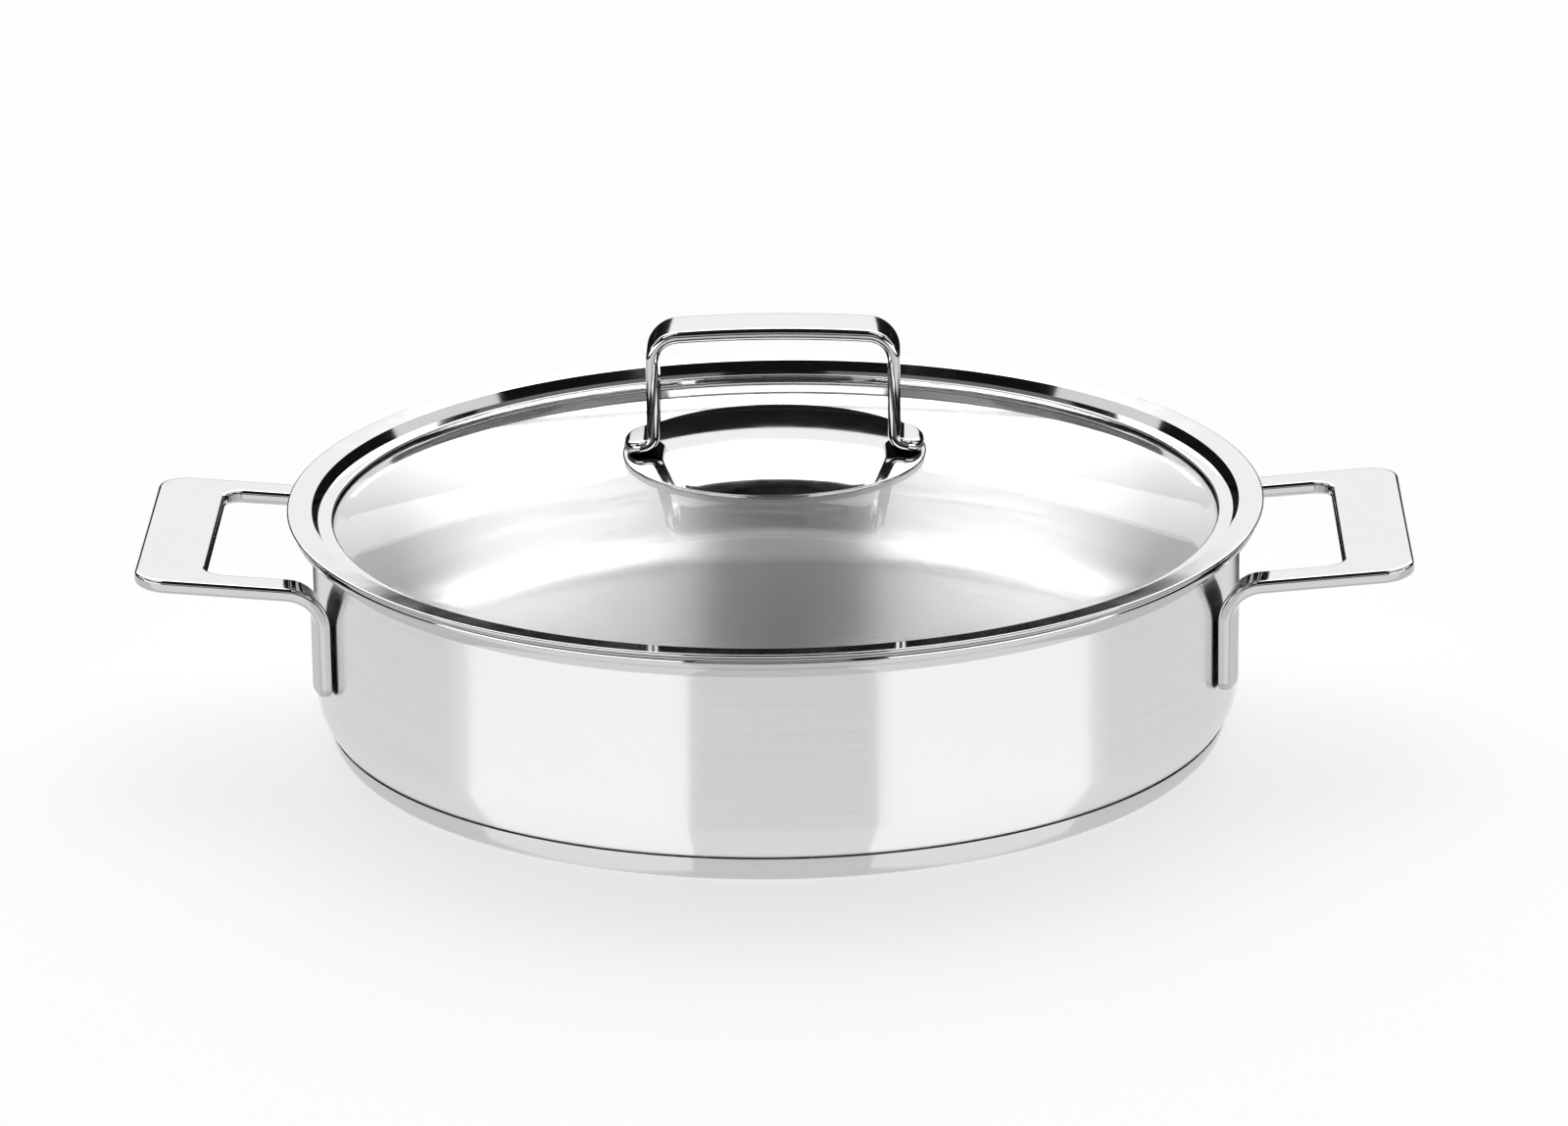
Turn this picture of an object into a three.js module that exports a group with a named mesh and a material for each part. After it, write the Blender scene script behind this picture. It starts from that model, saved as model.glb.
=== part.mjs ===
// Shallow two-handled steel pot with a domed glass lid.
// Millimetres, +Z up, the origin on the table under the pot's axis, the side handles along X.
import * as THREE from "three";

// Gaps between pieces
const CLEARANCE = 0.3; // between two pieces that touch or are welded
const SKIRT_CLEARANCE = 0.9; // between the lid's skirt and the inside of the wall

// Pot
const POT_RADIUS = 141; // outside of the straight wall
const POT_HEIGHT = 73.8; // table to the top of the rim bead
const WALL = 1.2; // steel sheet of the pot
const RIM_FLARE = 4; // radius of the pouring flare under the rim
const RIM_BEAD = 1.8; // radius of the rolled rim bead
const CORNER_START = 20; // height at which the wall starts to curve inwards
const SEAM_HEIGHT = 9.65; // height of the line where the base cap meets the pot
const SEAM_INSET = 3.5; // how far that line lies inside the straight wall
const FLOOR_LIFT = 6.5; // table to the underside of the pot's floor

// Base
const CAP_SHEET = 0.8; // steel of the base cap

// Lid ring
const LID_OVERHANG = 1.5; // ring's edge beyond the rim bead
const RING_SHEET = 1.1; // steel of the ring
const FLANGE_WIDTH = 7.5; // flange that lies on the rim
const FLANGE_SLOPE = 0.07; // rise of the flange towards its edge
const STEP_DEPTH = 3; // drop from the flange to the trough
const STEP_RUN = 1.8; // how far the step leans inwards
const LIP_REACH = 4.4; // how far the ring's lips reach over the glass

// Glass
const GLASS_THICKNESS = 3.6;
const GLASS_SLOPE = 0.25; // steepest fall of the dome towards its edge
const GLASS_ROUNDING = 60; // size of the rounded middle of the dome
const GLASS_HOLE = 5; // radius of the hole for the handle's boss

// Rosette and handle on the lid
const ROSETTE_RADIUS = 46;
const ROSETTE_SHEET = 1.2;
const STRAP_WIDTH = 18.4; // along Y
const STRAP_THICKNESS = 3.8;
const STRAP_SPAN = 76.7; // over the outside of both legs
const STRAP_RISE = 35.4; // rosette's middle to the top of the strap
const STRAP_CROWN = 0.9; // how much the top of the strap bulges
const STRAP_CORNER = 10; // outside radius of its two top corners
const FOOT_BEND = 1.5; // inside radius of the bend above each foot
const FOOT_LENGTH = 7; // foot beyond the leg's outside
const FOOT_CORNER = 5.5; // rounded end of each foot, measured along it
const FOOT_SIDE = 7.4; // the same rounding, measured across the foot
const STRAP_EDGE = 1.7; // rounding of the strap's long edges

// Fixing through the glass
const GASKET_THICKNESS = 1.2; // silicone between rosette and glass, and under the glass
const GASKET_RADIUS = 18;
const LOWER_GASKET_RADIUS = 14;
const BOSS_RADIUS = 3.6;
const BOSS_FLOOR = 1.8; // solid end of the boss above its threaded hole
const WASHER_THICKNESS = 1;
const WASHER_RADIUS = 10;
const SCREW_RADIUS = 2;
const HEAD_RADIUS = 5.5;
const HEAD_HEIGHT = 2.8;
const SCREW_LENGTH = 6; // shank above the head

// Side handles
const HANDLE_DROP = 10.5; // rim's top to the plate's top beside the wall
const HANDLE_REACH = 50.7; // plate's end beyond the wall
const HANDLE_WIDTH = 101.4; // plate along Y
const HANDLE_THICKNESS = 4;
const HANDLE_RISE = 0.081; // climb of the plate towards its end
const GRIP_WIDTH = 20.9; // solid part beyond the window
const ARM_WIDTH = 10.6;
const BEND_RADIUS = 10.5; // middle of the sheet where each arm turns down
const LEG_DROP = 35; // plate's top beside the wall to the leg's end
const OUTER_CORNER = 10; // corners of the plate
const WINDOW_CORNER = 6; // corners of the window
const LEG_CORNER = 3; // corners of the legs' ends
const HANDLE_EDGE = 1.2; // rounding of the plate's edges

const ROUND_STEPS = 48; // facets of the large turned pieces
const SMALL_STEPS = 24; // facets of the small turned pieces
const BEND_STEPS = 8; // facets of the bend in each arm of a side handle
const GRIP_STEPS = 4; // facets along half of the grip
const FOOT_STEPS = 5; // facets of each rounded corner of a foot
const EDGE_STEPS = 2; // facets of each rounded edge of a plate or a strap

// Heights and radii that follow from the sizes above
const wallInside = POT_RADIUS - WALL;
const beadCentre = new THREE.Vector2(POT_RADIUS + RIM_FLARE, POT_HEIGHT - RIM_BEAD);
const flareStart = beadCentre.y - RIM_BEAD - RIM_FLARE;
const seamRadius = POT_RADIUS - SEAM_INSET;
const cornerHeight = CORNER_START - SEAM_HEIGHT;
const cornerRadius = (SEAM_INSET ** 2 + cornerHeight ** 2) / (2 * SEAM_INSET);
const cornerTurn = Math.asin(cornerHeight / cornerRadius);
const heelRadius = (SEAM_HEIGHT - FLOOR_LIFT) / (1 - Math.sin(cornerTurn));
const heelCentre = new THREE.Vector2(
  seamRadius - heelRadius * Math.cos(cornerTurn),
  SEAM_HEIGHT + heelRadius * Math.sin(cornerTurn),
);
const capRound = SEAM_HEIGHT - CLEARANCE;
const ringOuter = beadCentre.x + RIM_BEAD + LID_OVERHANG;
const flangeInner = ringOuter - FLANGE_WIDTH;
const skirtOuter = wallInside - SKIRT_CLEARANCE;
const skirtInner = skirtOuter - RING_SHEET;
const lipInner = skirtOuter - LIP_REACH;
const flangeUnder = (radius) => POT_HEIGHT + CLEARANCE + (radius - beadCentre.x) * FLANGE_SLOPE;
const troughTop = flangeUnder(flangeInner) + RING_SHEET - STEP_DEPTH;
const glassEdgeTop = troughTop - RING_SHEET - CLEARANCE;
const glassEdgeFlat = lipInner - CLEARANCE;
const glassEdge = skirtInner - CLEARANCE;
const domeRun = (radius) => Math.hypot(radius, GLASS_ROUNDING);
const glassTop = (radius) => glassEdgeTop + GLASS_SLOPE * (domeRun(glassEdgeFlat) - domeRun(radius));
const rosetteRimUnder = glassTop(ROSETTE_RADIUS) + CLEARANCE;
const rosetteMiddleUnder = glassTop(0) + GASKET_THICKNESS + 2 * CLEARANCE;
const rosetteRise = rosetteMiddleUnder - rosetteRimUnder;
const rosetteUnder = (radius) => rosetteRimUnder + rosetteRise * (1 - (radius / ROSETTE_RADIUS) ** 2);
const rosetteTop = (radius) => rosetteUnder(radius) + ROSETTE_SHEET;

// Materials
function steel(colour, roughness) {
  return new THREE.MeshStandardMaterial({ color: colour, roughness, metalness: 1 });
}

function plain(colour, roughness) {
  return new THREE.MeshStandardMaterial({ color: colour, roughness, metalness: 0 });
}

function clearGlass() {
  const material = plain(0xe4ebe8, 0.05);
  material.transparent = true;
  material.opacity = 0.35;
  return material;
}

// Points of an arc in a profile, both ends included, angles in degrees.
function arc(centre, radius, from, to, steps) {
  const points = [];
  for (let i = 0; i <= steps; i++) {
    const angle = THREE.MathUtils.degToRad(from + ((to - from) * i) / steps);
    points.push(
      new THREE.Vector2(centre.x + radius * Math.cos(angle), centre.y + radius * Math.sin(angle)),
    );
  }
  return points;
}

// Points along a curve given as height over radius.
function curve(height, from, to, steps) {
  const points = [];
  for (let i = 0; i <= steps; i++) {
    const radius = from + ((to - from) * i) / steps;
    points.push(new THREE.Vector2(radius, height(radius)));
  }
  return points;
}

// A profile turned about Z. It starts and ends on the axis, or closes on itself.
function turned(profile, steps) {
  const points = THREE.ShapeUtils.area(profile) < 0 ? [...profile].reverse() : profile;
  return new THREE.LatheGeometry(points, steps).rotateX(Math.PI / 2);
}

// A ring-shaped profile, closed by its first point.
function turnedRing(profile, steps) {
  return turned([...profile, profile[0].clone()], steps);
}

function point(radius, height) {
  return new THREE.Vector2(radius, height);
}

function piece(name, geometry, material) {
  const mesh = new THREE.Mesh(geometry, material);
  mesh.name = name;
  return mesh;
}

// Pot body: floor, heel hidden in the base, rounded corner, wall, flare and rolled bead.
function potBody() {
  const cornerCentre = point(POT_RADIUS - cornerRadius, CORNER_START);
  const flareCentre = point(beadCentre.x, flareStart);
  const turn = THREE.MathUtils.radToDeg(cornerTurn);
  const profile = [
    point(0, FLOOR_LIFT),
    ...arc(heelCentre, heelRadius, -90, -turn, 3),
    ...arc(cornerCentre, cornerRadius, -turn, 0, 4).slice(1),
    ...arc(flareCentre, RIM_FLARE, 180, 90, 4),
    ...arc(beadCentre, RIM_BEAD, -90, 180, 8).slice(1),
    ...arc(flareCentre, RIM_FLARE + WALL, 110, 180, 4),
    ...arc(cornerCentre, cornerRadius - WALL, 0, -turn, 4),
    ...arc(heelCentre, heelRadius - WALL, -turn, -90, 3).slice(1),
    point(0, FLOOR_LIFT + WALL),
  ];
  return piece("pot_body", turned(profile, ROUND_STEPS), steel(0xd4d4d2, 0.12));
}

// Steel cap under the pot, its rounded side drawn up to the seam.
function baseCap() {
  const centre = point(seamRadius - capRound, capRound);
  const innerEnd = THREE.MathUtils.radToDeg(Math.asin(2 * CAP_SHEET / capRound));
  const profile = [
    point(0, 0),
    ...arc(centre, capRound, -90, 0, 6),
    ...arc(centre, capRound - CAP_SHEET, -innerEnd, -90, 5),
    point(0, CAP_SHEET),
  ];
  return piece("base_cap", turned(profile, ROUND_STEPS), steel(0xc9c9c7, 0.25));
}

// Aluminium disc that spreads the heat, enclosed between floor and cap.
function baseCore() {
  const centre = point(seamRadius - capRound, capRound);
  const radius = capRound - CAP_SHEET - CLEARANCE;
  const profile = [
    point(0, CAP_SHEET + CLEARANCE),
    ...arc(centre, radius, -90, -40, 4),
    point(heelCentre.x, FLOOR_LIFT - CLEARANCE),
    point(0, FLOOR_LIFT - CLEARANCE),
  ];
  return piece("base_core", turned(profile, ROUND_STEPS), steel(0xb4b6b8, 0.45));
}

// Outer and inner edge of a side handle's flat blank, as pairs of points from one leg's end to the
// middle of the grip. x runs outwards from the pot's axis, y along the grip.
function handleHalf(bend) {
  const end = POT_RADIUS + HANDLE_REACH;
  const outerY = HANDLE_WIDTH / 2;
  const innerY = outerY - ARM_WIDTH;
  const window = end - GRIP_WIDTH;
  const gripY = outerY - OUTER_CORNER;
  const windowY = innerY - WINDOW_CORNER;
  const cornerX = end - OUTER_CORNER;
  const windowX = window - WINDOW_CORNER;
  const pairs = [];
  const acrossArm = (x, inset) => pairs.push([point(x, outerY - inset), point(x, innerY + inset)]);
  for (let i = 0; i <= 3; i++) {
    const angle = (Math.PI / 6) * i;
    acrossArm(bend.tip + LEG_CORNER * (1 - Math.cos(angle)), LEG_CORNER * (1 - Math.sin(angle)));
  }
  for (let i = 0; i <= BEND_STEPS; i++) {
    acrossArm(bend.end + (bend.length * i) / BEND_STEPS, 0);
  }
  const outer = [
    point(windowX, outerY),
    ...arc(point(cornerX, gripY), OUTER_CORNER, 90, 0, 6),
    point(end, (gripY + windowY) / 2),
    point(end, windowY),
  ];
  const inner = arc(point(windowX, windowY), WINDOW_CORNER, 90, 0, outer.length - 1);
  outer.forEach((edge, i) => pairs.push([edge, inner[i]]));
  for (let i = GRIP_STEPS - 1; i >= 0; i--) {
    pairs.push([point(end, (windowY * i) / GRIP_STEPS), point(window, (windowY * i) / GRIP_STEPS)]);
  }
  return pairs;
}

// Section of a bar with rounded edges, as points across it and above its middle.
function barSection(width, thickness, edge) {
  const reach = width / 2 - edge;
  const rise = thickness / 2 - edge;
  const corners = [point(reach, -rise), point(reach, rise), point(-reach, rise), point(-reach, -rise)];
  return corners.flatMap((corner, i) => arc(corner, edge, 90 * (i - 1), 90 * i, EDGE_STEPS));
}

// Section of a side handle's blank between its two edges.
function plateSection([outer, inner]) {
  const middle = outer.clone().add(inner).multiplyScalar(0.5);
  const across = outer.clone().sub(inner);
  const section = barSection(across.length(), HANDLE_THICKNESS, HANDLE_EDGE);
  across.normalize();
  return section.map((p) => new THREE.Vector3(middle.x + across.x * p.x, middle.y + across.y * p.x, p.y));
}

// Where the arms of a side handle turn down, measured on the flat blank.
function handleBend() {
  const armY = (HANDLE_WIDTH - ARM_WIDTH) / 2;
  const legRadius = POT_RADIUS + CLEARANCE + HANDLE_THICKNESS / 2;
  const climb = Math.atan(HANDLE_RISE);
  const turn = Math.PI / 2 - climb;
  const length = BEND_RADIUS * turn;
  const start = Math.sqrt(legRadius ** 2 - armY ** 2) + BEND_RADIUS * (1 - Math.sin(climb));
  const middle = POT_HEIGHT - HANDLE_DROP - HANDLE_THICKNESS / 2;
  const legLength = LEG_DROP - HANDLE_THICKNESS / 2 - BEND_RADIUS * Math.cos(climb);
  return {
    armY,
    climb,
    turn,
    length,
    start,
    middle,
    end: start - length,
    tip: start - length - legLength,
    twist: Math.asin(armY / legRadius),
  };
}

// Moves one point of the flat blank to its place on the bent handle.
function bendPoint(p, bend) {
  if (p.x >= bend.start) {
    const height = bend.middle + HANDLE_RISE * (p.x - bend.start);
    return new THREE.Vector3(p.x, p.y, height + p.z);
  }
  const side = Math.sign(p.y);
  const travel = bend.start - p.x;
  const turned = Math.min(travel / BEND_RADIUS, bend.turn);
  const share = turned / bend.turn;
  const angle = bend.climb + turned;
  const inwards = BEND_RADIUS * (Math.sin(angle) - Math.sin(bend.climb));
  const drop = BEND_RADIUS * (Math.cos(bend.climb) - Math.cos(angle)) + travel - BEND_RADIUS * turned;
  const centre = new THREE.Vector3(bend.start - inwards, side * bend.armY, bend.middle - drop);
  const twist = side * bend.twist * share;
  const width = new THREE.Vector3(-Math.sin(twist), Math.cos(twist), 0);
  const normal = new THREE.Vector3(-Math.cos(twist), -Math.sin(twist), 0).multiplyScalar(Math.sin(angle));
  normal.z = Math.cos(angle);
  return centre.addScaledVector(width, p.y - side * bend.armY).addScaledVector(normal, p.z);
}

// A closed skin over a row of sections with the same number of points, flat at both ends.
function skin(sections) {
  const count = sections[0].length;
  const faces = [];
  for (let row = 0; row + 1 < sections.length; row++) {
    for (let i = 0; i < count; i++) {
      const a = row * count + i;
      const b = row * count + ((i + 1) % count);
      faces.push(a, b + count, a + count, a, b, b + count);
    }
  }
  const last = (sections.length - 1) * count;
  for (let i = 1; i + 1 < count; i++) {
    faces.push(0, i + 1, i, last, last + i, last + i + 1);
  }
  return new THREE.BufferGeometry().setFromPoints(sections.flat()).setIndex(faces);
}

// Side handle: one plate with rounded edges, bent down into two legs on the wall.
function sideHandle(name, turn) {
  const bend = handleBend();
  const half = handleHalf(bend);
  const mirror = (p) => point(p.x, -p.y);
  const otherHalf = half.slice(0, -1).map(([outer, inner]) => [mirror(outer), mirror(inner)]).reverse();
  const sections = [...half, ...otherHalf].map((pair) => plateSection(pair).map((p) => bendPoint(p, bend)));
  const mesh = piece(name, skin(sections), steel(0xd8d8d6, 0.12));
  mesh.rotation.z = turn;
  return mesh;
}

// Lid ring: flange on the rim, step, trough, and a skirt that holds the glass edge between two lips.
function lidRing() {
  const lowerLipTop = glassEdgeTop - GLASS_THICKNESS - CLEARANCE;
  const edge = RING_SHEET / 2;
  const stepFoot = flangeInner - STEP_RUN;
  const rimCentre = point(ringOuter - edge, flangeUnder(ringOuter - edge) + edge);
  const lipCentre = point(lipInner + edge, troughTop - edge);
  const profile = [
    ...arc(rimCentre, edge, -90, 90, 4),
    point(flangeInner, flangeUnder(flangeInner) + RING_SHEET),
    point(stepFoot, troughTop),
    ...arc(lipCentre, edge, 90, 270, 4),
    point(skirtInner, troughTop - RING_SHEET),
    point(skirtInner, lowerLipTop),
    point(lipInner, lowerLipTop),
    point(lipInner, lowerLipTop - RING_SHEET),
    point(skirtOuter - edge, lowerLipTop - RING_SHEET),
    point(skirtOuter, lowerLipTop - RING_SHEET + edge),
    point(skirtOuter, troughTop - RING_SHEET),
    point(flangeInner + edge, flangeUnder(flangeInner + edge)),
  ];
  return piece("lid_ring", turnedRing(profile, ROUND_STEPS), steel(0xd8d8d6, 0.1));
}

// Domed glass with a hole in its middle and a flat edge inside the ring.
function lidGlass() {
  const underside = (radius) => glassTop(radius) - GLASS_THICKNESS;
  const profile = [
    ...curve(glassTop, GLASS_HOLE, glassEdgeFlat, 9),
    point(glassEdge, glassEdgeTop),
    point(glassEdge, glassEdgeTop - GLASS_THICKNESS),
    ...curve(underside, glassEdgeFlat, GLASS_HOLE, 9),
  ];
  return piece("lid_glass", turnedRing(profile, ROUND_STEPS), clearGlass());
}

// Convex steel rosette under the lid's handle.
function lidRosette() {
  const rim = ROSETTE_RADIUS - ROSETTE_SHEET / 2;
  const profile = [
    ...curve(rosetteUnder, 0, rim, 5),
    ...arc(point(rim, rosetteUnder(rim) + ROSETTE_SHEET / 2), ROSETTE_SHEET / 2, -60, 60, 2),
    ...curve(rosetteTop, rim, 0, 5),
  ];
  return piece("lid_rosette", turned(profile, ROUND_STEPS), steel(0xd6d6d4, 0.1));
}

// Middle line of the strap's +X half, from the top's middle to the foot's end. Each station has a place,
// the direction that its outside faces, in degrees, and a width.
function strapHalf() {
  const half = STRAP_SPAN / 2;
  const middle = STRAP_THICKNESS / 2;
  const top = rosetteTop(0) + STRAP_RISE - middle;
  const shoulder = half - STRAP_CORNER;
  const corner = point(shoulder, top + middle - STRAP_CROWN - STRAP_CORNER);
  const footEnd = half + FOOT_LENGTH;
  const lean = Math.atan((rosetteTop(half) - rosetteTop(footEnd)) / FOOT_LENGTH);
  const outerBend = FOOT_BEND + STRAP_THICKNESS;
  const bendX = half + FOOT_BEND;
  const footTouch = rosetteTop(bendX - outerBend * Math.sin(lean)) + CLEARANCE;
  const bend = point(bendX, footTouch + outerBend * Math.cos(lean));
  const stations = [];
  const add = (place, facing, inset) => stations.push({ place, facing, width: STRAP_WIDTH - 2 * inset });
  const turnAbout = (centre, radius, from, to, steps, flip) => {
    const places = arc(centre, radius, from, to, steps);
    places.forEach((place, i) => add(place, from + ((to - from) * i) / steps + flip, 0));
  };
  for (const x of [0, shoulder / 2]) {
    add(point(x, top - STRAP_CROWN * (x / shoulder) ** 2), 90, 0);
  }
  turnAbout(corner, STRAP_CORNER - middle, 90, 0, 5, 0);
  const flat = 90 - THREE.MathUtils.radToDeg(lean);
  turnAbout(bend, FOOT_BEND + middle, 180, 180 + flat, 4, 180);
  const foot = stations[stations.length - 1].place;
  for (let i = FOOT_STEPS; i >= 0; i--) {
    const angle = ((Math.PI / 2) * i) / FOOT_STEPS;
    const x = footEnd - FOOT_CORNER * (1 - Math.cos(angle));
    add(point(x, foot.y - (x - foot.x) * Math.tan(lean)), flat, FOOT_SIDE * (1 - Math.sin(angle)));
  }
  return stations;
}

// Lid handle: a flat strap bent into an arch, its two rounded feet turned outwards on the rosette.
function lidHandle() {
  const half = strapHalf();
  const mirrored = half.slice(1).map(({ place, facing, width }) => {
    return { place: point(-place.x, place.y), facing: 180 - facing, width };
  });
  const sections = [...mirrored.reverse(), ...half].map(({ place, facing, width }) => {
    const angle = THREE.MathUtils.degToRad(facing);
    return barSection(width, STRAP_THICKNESS, STRAP_EDGE).map(
      (p) => new THREE.Vector3(place.x + Math.cos(angle) * p.y, p.x, place.y + Math.sin(angle) * p.y),
    );
  });
  return piece("lid_handle", skin(sections), steel(0xd8d8d6, 0.1));
}

// Heights of the pieces that hold the rosette to the glass, from the top down.
const glassUnder = glassTop(0) - GLASS_THICKNESS;
const lowerGasketTop = glassTop(LOWER_GASKET_RADIUS) - GLASS_THICKNESS - CLEARANCE;
const lowerGasketBottom = lowerGasketTop - GASKET_THICKNESS;
const washerTop = lowerGasketBottom - CLEARANCE;
const headTop = washerTop - WASHER_THICKNESS - CLEARANCE;
const bossTop = rosetteUnder(BOSS_RADIUS) - CLEARANCE;
const bossBottom = lowerGasketBottom + CLEARANCE;
const threadRadius = SCREW_RADIUS + CLEARANCE;

function upperGasket() {
  const inner = BOSS_RADIUS + CLEARANCE;
  const profile = [
    ...curve((radius) => glassTop(radius) + CLEARANCE, inner, GASKET_RADIUS, 2),
    ...curve((radius) => rosetteUnder(radius) - CLEARANCE, GASKET_RADIUS, inner, 2),
  ];
  return piece("upper_gasket", turnedRing(profile, SMALL_STEPS), plain(0x3a3c3e, 0.7));
}

function washerLike(name, inner, outer, bottom, top, material) {
  const profile = [point(inner, bottom), point(outer, bottom), point(outer, top), point(inner, top)];
  return piece(name, turnedRing(profile, SMALL_STEPS), material);
}

function grommet() {
  const outer = GLASS_HOLE - CLEARANCE;
  return washerLike(
    "hole_grommet",
    BOSS_RADIUS + CLEARANCE,
    outer,
    glassUnder + CLEARANCE,
    glassTop(GLASS_HOLE) - CLEARANCE,
    plain(0x3a3c3e, 0.7),
  );
}

function lowerGasket() {
  const inner = BOSS_RADIUS + CLEARANCE;
  const material = plain(0x3a3c3e, 0.7);
  return washerLike("lower_gasket", inner, LOWER_GASKET_RADIUS, lowerGasketBottom, lowerGasketTop, material);
}

function washer() {
  const bottom = washerTop - WASHER_THICKNESS;
  return washerLike("steel_washer", threadRadius, WASHER_RADIUS, bottom, washerTop, steel(0xc4c4c2, 0.3));
}

// Threaded boss welded under the rosette, open towards the screw.
function handleBoss() {
  const roof = bossTop - BOSS_FLOOR;
  const profile = [
    point(0, roof),
    point(threadRadius, roof),
    point(threadRadius, bossBottom),
    point(BOSS_RADIUS, bossBottom),
    point(BOSS_RADIUS, bossTop),
    point(0, bossTop),
  ];
  return piece("handle_boss", turned(profile, SMALL_STEPS), steel(0xc4c4c2, 0.35));
}

// Pan-head screw from under the lid.
function lidScrew() {
  const round = HEAD_HEIGHT / 2;
  const profile = [
    point(0, headTop - HEAD_HEIGHT),
    ...arc(point(HEAD_RADIUS - round, headTop - round), round, -90, 0, 3),
    point(HEAD_RADIUS, headTop),
    point(SCREW_RADIUS, headTop),
    point(SCREW_RADIUS, headTop + SCREW_LENGTH),
    point(0, headTop + SCREW_LENGTH),
  ];
  return piece("lid_screw", turned(profile, SMALL_STEPS), steel(0xc4c4c2, 0.3));
}

const pot = new THREE.Group();
pot.name = "pot";
pot.add(potBody(), baseCore(), baseCap());
pot.add(sideHandle("side_handle_right", 0), sideHandle("side_handle_left", Math.PI));

const lid = new THREE.Group();
lid.name = "lid";
lid.add(lidRing(), lidGlass(), lidRosette(), lidHandle());
lid.add(handleBoss(), upperGasket(), grommet(), lowerGasket(), washer(), lidScrew());

const assembly = new THREE.Group();
assembly.name = "shallow_pot_with_lid";
assembly.add(pot, lid);

export default assembly;
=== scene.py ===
"""Shallow steel pot with two plate handles and a domed glass lid, dressed on its CAD frame.

All lengths are metres in the CAD model's frame: +Z up, the origin on the table under the pot's axis,
the side handles along X.
"""

import math

import bmesh
import bpy
from bpy.props import FloatProperty, PointerProperty, StringProperty
from mathutils import Matrix, Vector


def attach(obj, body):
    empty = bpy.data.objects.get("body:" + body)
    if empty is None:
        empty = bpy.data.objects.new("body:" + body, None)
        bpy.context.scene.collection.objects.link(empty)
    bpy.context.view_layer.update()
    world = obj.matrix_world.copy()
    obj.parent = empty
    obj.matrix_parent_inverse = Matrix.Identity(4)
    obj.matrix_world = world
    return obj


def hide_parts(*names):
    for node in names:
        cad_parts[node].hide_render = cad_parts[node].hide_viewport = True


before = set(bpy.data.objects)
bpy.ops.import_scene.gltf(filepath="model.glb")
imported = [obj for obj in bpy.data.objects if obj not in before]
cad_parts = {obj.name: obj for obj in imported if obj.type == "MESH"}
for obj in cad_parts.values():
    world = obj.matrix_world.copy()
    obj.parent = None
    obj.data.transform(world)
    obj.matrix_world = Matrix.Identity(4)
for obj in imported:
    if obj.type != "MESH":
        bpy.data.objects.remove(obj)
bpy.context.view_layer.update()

bl_info = {
    "name": "Shallow pot with lid",
    "version": (1, 0, 0),
    "blender": (4, 5, 0),
    "location": "3D view > Sidebar > Pot",
    "description": "Models a shallow steel pot with a glass lid on its CAD frame",
    "category": "Add Mesh",
}

ROUND = 192  # facets round the pot's axis
MERGE = 1e-6  # points closer than this are one
CUT = 1e-7  # points closer than this to a cutting plane lie in it
FLARE_STOP = 110  # degrees at which the inside of the pouring flare ends under the bead
BEND_CUTS = 16  # cuts across the bend of a side handle's arm
WALL_LINES = 0.0006  # turned lines on the wall, coarser than real ones so that they show
FLOOR_LINES = 0.0012  # turned lines on the floor, coarser than real ones so that they show


def length(name, description, default):
    """A size in metres that a user can change."""
    return FloatProperty(name=name, description=description, default=default, unit="LENGTH", precision=5)


def angle(name, description, default):
    """An angle in radians that a user can change."""
    return FloatProperty(name=name, description=description, default=default, subtype="ANGLE", precision=5)


def colour(name, description, default):
    """A colour as an sRGB hex value."""
    return StringProperty(name=name, description=description, default=default)


# Sizes


class PotSizes(bpy.types.PropertyGroup):
    """Sizes of the pot and its base."""

    radius: length("Radius", "Outside of the straight wall", 0.141)
    height: length("Height", "Table to the top of the rim bead", 0.0738)
    wall: length("Wall", "Steel sheet of the pot", 0.0012)
    flare: length("Flare", "Radius of the pouring flare under the rim", 0.004)
    bead: length("Bead", "Radius of the rolled rim bead", 0.0018)
    corner_start: length("Corner start", "Height at which the wall starts to curve inwards", 0.020)
    seam_height: length("Seam height", "Height of the line where the base cap meets the pot", 0.00965)
    seam_inset: length("Seam inset", "How far that line lies inside the straight wall", 0.0035)
    floor_lift: length("Floor lift", "Table to the underside of the pot's floor", 0.0065)
    cap_sheet: length("Cap sheet", "Steel of the base cap", 0.0008)
    clearance: length("Clearance", "Gap between two pieces that touch or are welded", 0.0003)
    seam_gap: length("Seam gap", "Dark gap above the base cap, as wide as it looks in the photo", 0.0007)


class HandleSizes(bpy.types.PropertyGroup):
    """Sizes of the two side handles."""

    drop: length("Drop", "Rim's top to the plate's top beside the wall", 0.0105)
    reach: length("Reach", "Plate's end beyond the wall", 0.0507)
    width: length("Width", "Plate along Y", 0.1014)
    thickness: length("Thickness", "Steel plate", 0.004)
    rise: FloatProperty(name="Rise", description="Climb of the plate towards its end", default=0.081)
    grip: length("Grip", "Solid part beyond the window", 0.0209)
    arm: length("Arm", "Width of each arm", 0.0106)
    bend: length("Bend", "Middle of the plate where each arm turns down", 0.0105)
    leg_drop: length("Leg drop", "Plate's top beside the wall to the leg's end", 0.035)
    outer_corner: length("Outer corner", "Corners of the plate", 0.010)
    window_corner: length("Window corner", "Corners of the window", 0.006)
    leg_corner: length("Leg corner", "Corners of the legs' ends", 0.003)
    edge: length("Edge", "Rounding of the plate's edges", 0.0012)


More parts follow.
